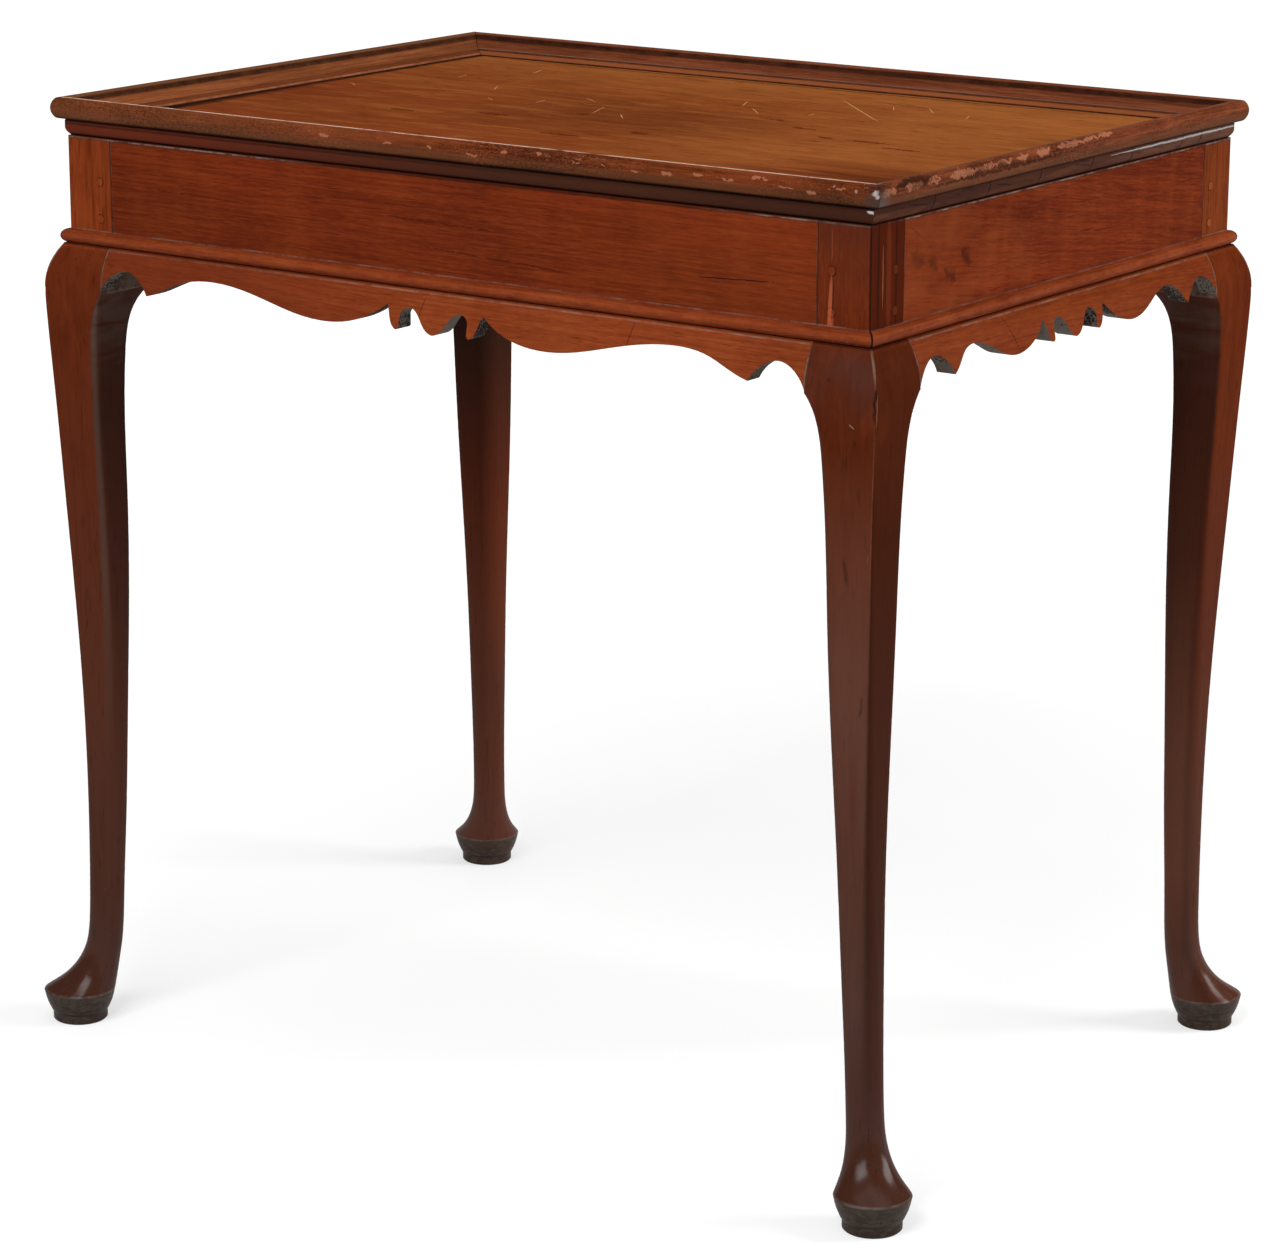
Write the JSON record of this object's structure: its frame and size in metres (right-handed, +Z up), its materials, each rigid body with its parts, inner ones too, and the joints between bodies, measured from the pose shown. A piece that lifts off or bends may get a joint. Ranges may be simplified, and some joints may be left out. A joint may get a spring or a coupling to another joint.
{
  "type": "tray top tea table",
  "caption": "Rectangular tea table with a raised moulded rim round its tray top, pegged frieze rails, scalloped aprons under a bead and cabriole legs on pad feet.",
  "frame": {"origin": "on the floor, under the middle of the table", "axes": "+X along the long side, -Y towards the front, +Z up"},
  "size_m": [0.7442, 0.5326, 0.686],
  "materials": {
    "frieze_wood": "old red-brown mahogany, waxed, with a fine grain",
    "leg_wood": "old red-brown mahogany, darker and glossier towards the feet",
    "rim_wood": "old red-brown mahogany moulding, worn and speckled on its nose",
    "board_wood": "old golden-brown mahogany, stained and scratched on top",
    "bead_wood": "old red-brown mahogany bead, chipped here and there",
    "peg_wood": "hardwood pegs, darkened with age",
    "block_wood": "unfinished softwood, aged brown"
  },
  "bodies": {
    "root": {"tray_board": "board_wood", "rim_moulding_front": "rim_wood", "rail_front": "frieze_wood", "apron_front": "frieze_wood", "bead_front": "bead_wood", "rim_moulding_back": "rim_wood", "rail_back": "frieze_wood", "apron_back": "frieze_wood", "bead_back": "bead_wood", "rim_moulding_left": "rim_wood", "rail_left": "frieze_wood", "apron_left": "frieze_wood", "bead_left": "bead_wood", "rim_moulding_right": "rim_wood", "rail_right": "frieze_wood", "apron_right": "frieze_wood", "bead_right": "bead_wood", "leg_front_left": "leg_wood", "pegs_front_left": "peg_wood", "leg_front_right": "leg_wood", "pegs_front_right": "peg_wood", "leg_back_left": "leg_wood", "pegs_back_left": "peg_wood", "leg_back_right": "leg_wood", "pegs_back_right": "peg_wood", "glue_block_front_1": "block_wood", "glue_block_front_2": "block_wood", "glue_block_back_1": "block_wood", "glue_block_back_2": "block_wood", "glue_block_left": "block_wood", "glue_block_right": "block_wood"}
  },
  "joints": []
}
